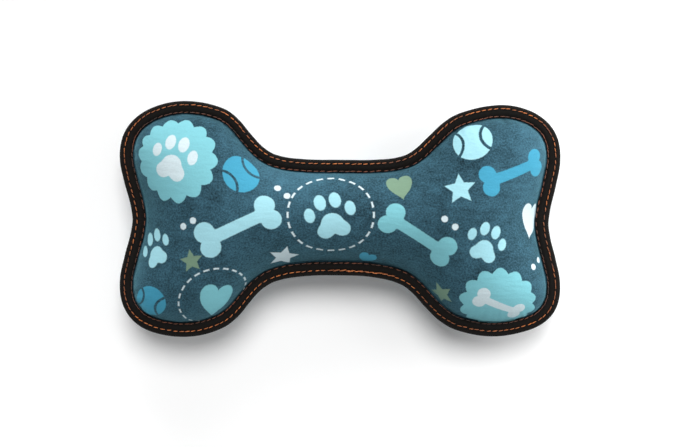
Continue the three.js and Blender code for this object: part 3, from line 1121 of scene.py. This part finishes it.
def dome(radius, rim_level, rise, first=0.02, steps=18):
    """Profile of a domed cap, from just off its axis down to its rim."""
    turns = np.linspace(first, math.pi / 2, steps)
    return [(radius * math.sin(a), rim_level + rise * math.cos(a)) for a in turns]


def squeaker_sizes(side):
    """The bulb's radius, half height and rim level, from the CAD crown."""
    low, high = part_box(side + "_squeaker_crown")
    return (high.x - low.x) / 2, high.z - SEAM, low.z - SEAM


def bulb_crown(side, material):
    radius, top, rim_level = squeaker_sizes(side)
    outside = dome(radius, rim_level, top - rim_level)
    outside = [(r, z + BEAD_HEIGHT * hump(r, BEAD_RADIUS, BEAD_WIDTH)) for r, z in outside]
    inside = dome(radius - BULB_WALL, rim_level, top - rim_level - BULB_WALL)
    piece = lathe(side, "bulb_crown", inside + outside[::-1], material, capped=True)
    return dress(piece, side + "_squeaker_crown", side + "_crown")


def bulb_pleats(side, material):
    radius = squeaker_sizes(side)[0]
    low, high = (corner.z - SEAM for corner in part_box(side + "_squeaker_pleats"))
    steps = np.linspace(0, 1, PLEAT_STEPS)
    fold = [PLEAT_DEPTH / 2 * (1 - math.cos(TURN * PLEATS * t)) for t in steps]
    outside = [(radius - f, low + (high - low) * t) for f, t in zip(fold, steps)]
    inside = [(r - PLEAT_WALL, z) for r, z in outside]
    piece = lathe(side, "bulb_pleats", outside + inside[::-1], material)
    dress(piece, side + "_squeaker_pleats")
    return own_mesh(piece)


def bulb_base(side, material):
    radius, top, rim_level = squeaker_sizes(side)
    hollow = radius - BULB_WALL
    collar_top = -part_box(side + "_squeaker_base")[1].z + SEAM
    outside = dome(radius, rim_level, top - rim_level, math.asin(REED_BORE / radius))
    inside = dome(hollow, rim_level, top - rim_level - BULB_WALL, math.asin(COLLAR / hollow))
    lip = [(COLLAR, collar_top + COLLAR_EDGE), (COLLAR - COLLAR_EDGE, collar_top), (REED_BORE, collar_top)]
    profile = [(r, -z) for r, z in inside[::-1] + lip + outside]
    piece = lathe(side, "bulb_base", profile, material)
    return dress(piece, side + "_squeaker_base")


def pouch_half(side, face, material):
    """Half of the cloth pouch round a squeaker, gathered into its hem."""
    node = f"{side}_pouch_{face}"
    sign = 1 if face == "front" else -1
    low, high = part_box(node)
    top = max(abs(low.z - SEAM), abs(high.z - SEAM))
    hem = (high.x - low.x) / 2
    radius = hem - POUCH_HEM
    hollow = radius - POUCH_WALL
    rim_level = squeaker_sizes(side)[2]
    foot, hem_top = SEAM_GAP, SEAM_GAP + POUCH_WALL
    side_steps = np.linspace(rim_level, foot + 2 * POUCH_WALL, 8)[1:]
    outside = dome(radius, rim_level, top - rim_level) + [(radius, z) for z in side_steps]
    inside = dome(hollow, rim_level, top - rim_level - POUCH_WALL) + [(hollow, z) for z in side_steps]
    hem_edge = [(hollow, foot), (hem, foot), (hem, hem_top), (radius + HEM_FOLD, hem_top)]
    profile = [(r, sign * z) for r, z in inside + hem_edge + outside[::-1]]
    around = 6 * RUFFLES
    piece = lathe(side, f"pouch_cloth_{face}", profile, material, around, RUFFLE, True)
    lay_uv(piece, "FlatCut", cut_places(profile, around))
    dress(piece, node)
    if face == "front":
        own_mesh(piece)
    return piece


# Stage, light and camera

# A white floor, and the share of white that the camera sees even in shadow
FLOOR_WHITE = 0.98
FLOOR_LIFT = 0.07
FLOOR_REACH = 6.0
FLOOR_DROP = 0.2 * MM

# Share of the white background that lights the toy from all round
AMBIENT = 0.15

# The photograph's frame and the toy's middle in it, in pixels, and the lens
FRAME_PIXELS = (673, 447)
TOY_PIXEL = (339.7, 219.0)
PIXEL = 0.6826 * MM
LENS = 85.0
SENSOR = 36.0
TILT = math.radians(5.5)


def seen_directly(graph):
    """1 for what the camera sees, also in gloss and through glass, and 0 for what lights the toy."""
    path = graph.node("LightPath").outputs
    seen = graph.math("MAXIMUM", path["Is Camera Ray"], path["Is Glossy Ray"])
    return graph.math("MAXIMUM", seen, path["Is Transmission Ray"])


def staged_floor():
    """A white floor that looks white to the camera and keeps the toy's shadow."""
    material, graph = surface(
        "white_floor",
        Base_Color=[FLOOR_WHITE] * 3 + [1],
        Roughness=1.0,
        Specular_IOR_Level=0.0,
        Emission_Color=(1, 1, 1, 1),
    )
    graph.show(Emission_Strength=graph.math("MULTIPLY", seen_directly(graph), FLOOR_LIFT))
    corners = [(-1, -1), (1, -1), (1, 1), (-1, 1)]
    points = [(x * FLOOR_REACH, y * FLOOR_REACH, FLOOR - FLOOR_DROP) for x, y in corners]
    floor = make("floor", points, [(0, 1, 2, 3)], material)


def turned_to(way):
    """The turn of a lamp whose light comes from that way."""
    return Vector(way).to_track_quat("Z", "Y").to_euler()


def sun(name, strength, way, softness):
    """A far light, by the way towards it and its softness in degrees."""
    lamp = bpy.data.lights.new(name, "SUN")
    lamp.energy = strength
    lamp.angle = math.radians(softness)
    add(name, lamp).rotation_euler = turned_to(way)


def softbox(name, power, place, aim, size):
    """A square panel of light at a place, turned towards its aim."""
    lamp = bpy.data.lights.new(name, "AREA")
    lamp.energy = power
    lamp.size = size
    piece = add(name, lamp)
    piece.location = place
    piece.rotation_euler = turned_to(Vector(place) - Vector(aim))


def light_studio():
    sun("key", strength=2.4, way=(0.0, 0.55, 0.835), softness=35)
    sun("top", strength=1.8, way=(0.0, 0.97, 0.24), softness=30)
    softbox("side", power=1.35, place=(0.46, 0.1, 0.2), aim=(0.13, 0.0, 0.04), size=0.25)
    sun("bounce", strength=0.5, way=(0.1, -0.96, 0.2), softness=70)


def surround():
    """Even light from all round, in front of a white background."""
    world = bpy.data.worlds.new("studio")
    world.use_nodes = True
    bpy.context.scene.world = world
    graph = Graph(world.node_tree)
    strength = graph.ramp(seen_directly(graph), 0, 1, AMBIENT, 1.0)
    graph.fill(world.node_tree.nodes["Background"], Color=(1, 1, 1, 1), Strength=strength)


def aim_camera():
    """Looks down on the front panel from slightly beyond its upper edge."""
    lens = bpy.data.cameras.new("camera")
    lens.lens = LENS
    lens.sensor_width = SENSOR
    camera = add("camera", lens)
    distance = PIXEL * FRAME_PIXELS[0] * LENS / SENSOR
    aim_x = (FRAME_PIXELS[0] / 2 - TOY_PIXEL[0]) * PIXEL
    aim_y = (TOY_PIXEL[1] - FRAME_PIXELS[1] / 2) * PIXEL
    camera.location = (aim_x, aim_y + distance * math.sin(TILT), SEAM + distance * math.cos(TILT))
    camera.rotation_euler = (-TILT, 0, 0)
    bpy.context.scene.camera = camera


# Making


def make_shell():
    backing = weave_material(
        "woven_backing", linear(214, 216, 214), linear(150, 156, 158), 0.9, pitch=0.5 * MM, depth=0.1 * MM
    )
    cloth = (plush_material(), backing)
    fibre = fibre_material()
    panel = stuffed_panel()
    front = front_panel(panel, cloth)
    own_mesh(front)
    back_panel(panel, cloth)
    front_fill = dress(stuffing("front_fibre", panel, 1, 11, fibre), "front_fill")
    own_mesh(front_fill)
    dress(stuffing("back_fibre", panel, -1, 12, fibre), "back_fill")
    bpy.data.objects.remove(panel)
    edge_tape(tape_material())


def make_stitching():
    bright = thread_material("outer_thread", linear(226, 126, 50), linear(94, 46, 23))
    # The inner row's thread is the outer row's orange painted much darker: painted shade where it lies under
    # the panel's overhang
    shaded = thread_material("inner_thread", linear(130, 66, 34), linear(24, 15, 11))
    for seed, (face, side) in enumerate((("front", 1), ("back", -1))):
        stitch_row(f"outer_stitches_{face}", OUTER_ROW, side, 21 + seed, bright, True)
        stitch_row(f"inner_stitches_{face}", INNER_ROW, side, 31 + seed, shaded)


def make_squeakers():
    bulb = moulded_material(
        "bulb_plastic", linear(237, 238, 237), 0.42, Subsurface_Weight=0.25, Subsurface_Scale=2 * MM
    )
    unit = moulded_material("reed_plastic", linear(216, 221, 218), 0.35)
    film = moulded_material("reed_film", linear(231, 227, 209), 0.2)
    cotton = weave_material(
        "pouch_cloth", linear(228, 225, 216), linear(196, 192, 180), 0.95, pitch=0.6 * MM, depth=0.12 * MM
    )
    for side in SIDES:
        bulb_crown(side, bulb)
        bulb_pleats(side, bulb)
        bulb_base(side, bulb)
        for face in ("front", "back"):
            pouch_half(side, face, cotton)
        for node, material in (("reed_holder", unit), ("reed_wedge", unit), ("reed", film)):
            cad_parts[f"{side}_{node}"].material_slots[0].material = material


aim_camera()
make_shell()
make_stitching()
make_squeakers()
staged_floor()
light_studio()
surround()
bpy.context.scene.view_settings.view_transform = "Standard"
